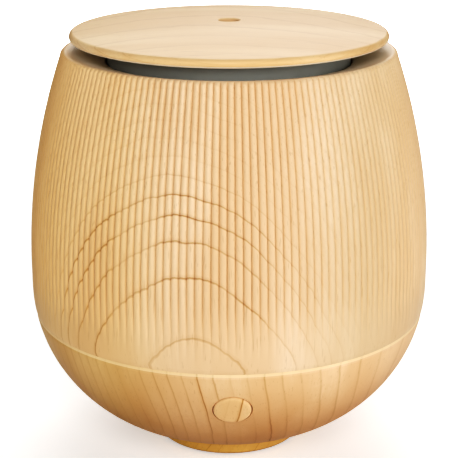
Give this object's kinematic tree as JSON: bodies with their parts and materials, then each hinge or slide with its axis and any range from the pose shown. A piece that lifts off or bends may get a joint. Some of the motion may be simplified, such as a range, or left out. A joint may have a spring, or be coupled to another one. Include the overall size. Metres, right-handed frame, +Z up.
{
  "type": "essential oil diffuser",
  "caption": "Ultrasonic essential oil diffuser: wooden bowl with a flush push button, tall reeded wooden cover and a crowned lid disc that floats above the rim.",
  "frame": {"origin": "centre of the plane that the rubber feet stand on, on the axis of the round body", "axes": "+Z up along the body's axis; the push button faces -Y, the power inlet faces +Y"},
  "size_m": [0.13, 0.13, 0.1402],
  "materials": {
    "wood_cover": "satin clear-coated light wood with fine vertical reeds",
    "wood_bowl": "satin clear-coated light wood",
    "wood_lid": "satin clear-coated light wood",
    "wood_foot": "satin clear-coated light wood",
    "dark_grey_plastic": "fine matte moulded",
    "white_plastic": "satin moulded polypropylene",
    "black_plastic": "fine matte moulded",
    "rubber": "matte",
    "silicone": "soft satin",
    "steel": "zinc plated",
    "brass": "turned",
    "copper": "enamelled winding wire",
    "aluminium": "extruded",
    "transducer_metal": "silvered ceramic on a metal disc",
    "circuit_green": "solder mask",
    "ferrite": "sintered",
    "lead_red": "wire insulation",
    "lead_black": "wire insulation"
  },
  "bodies": {
    "base": {"base_bowl": "wood_bowl", "foot_cover": "wood_foot", "rubber_feet": "rubber", "foot_screws": "steel", "chassis": "black_plastic", "chassis_screws": "steel", "water_tank": "white_plastic", "tank_seal": "silicone", "duct_cap": "white_plastic", "transducer_disc": "transducer_metal", "transducer_seal": "silicone", "transducer_clamp": "black_plastic", "clamp_screws": "steel", "main_board": "circuit_green", "board_screws": "steel", "board_sockets": "white_plastic", "control_chip": "black_plastic", "capacitors": "aluminium", "choke_core": "ferrite", "choke_winding": "copper", "heat_sink": "aluminium", "driver_transistor": "black_plastic", "power_jack": "black_plastic", "jack_pin": "brass", "jack_nut": "steel", "switch_board": "circuit_green", "switch_screws": "steel", "tact_switch": "black_plastic", "fan_lead": "lead_red", "transducer_lead": "lead_black", "switch_lead": "lead_black", "power_lead": "lead_red", "fan_frame": "black_plastic", "fan_screws": "steel", "fan_bearing": "brass", "fan_coil": "copper"},
    "button": {"button_cap": "wood_bowl", "switch_plunger": "black_plastic"},
    "fan": {"fan_rotor": "black_plastic", "fan_shaft": "steel"},
    "cover": {"ribbed_shell": "wood_cover", "mist_liner": "white_plastic", "liner_screws": "steel"},
    "lid": {"lid_disc": "wood_lid", "lid_collar": "dark_grey_plastic", "lid_seal": "silicone", "mist_funnel": "white_plastic", "lid_screws": "steel"}
  },
  "joints": [
    {"name": "cover_lift", "type": "slide", "parent": "base", "child": "cover", "axis": [0, 0, 1], "range_m": [0, 0.07]},
    {"name": "lid_lift", "type": "slide", "parent": "cover", "child": "lid", "axis": [0, 0, 1], "range_m": [0, 0.03]},
    {"name": "button_press", "type": "slide", "parent": "base", "child": "button", "axis": [0, 0.8935, 0.449], "range_m": [0, 0.0006], "stiffness_N_per_m": 400},
    {"name": "fan_spin", "type": "hinge", "parent": "base", "child": "fan", "pos_m": [0, 0, 0.0164], "axis": [0, 0, 1], "continuous": true}
  ]
}
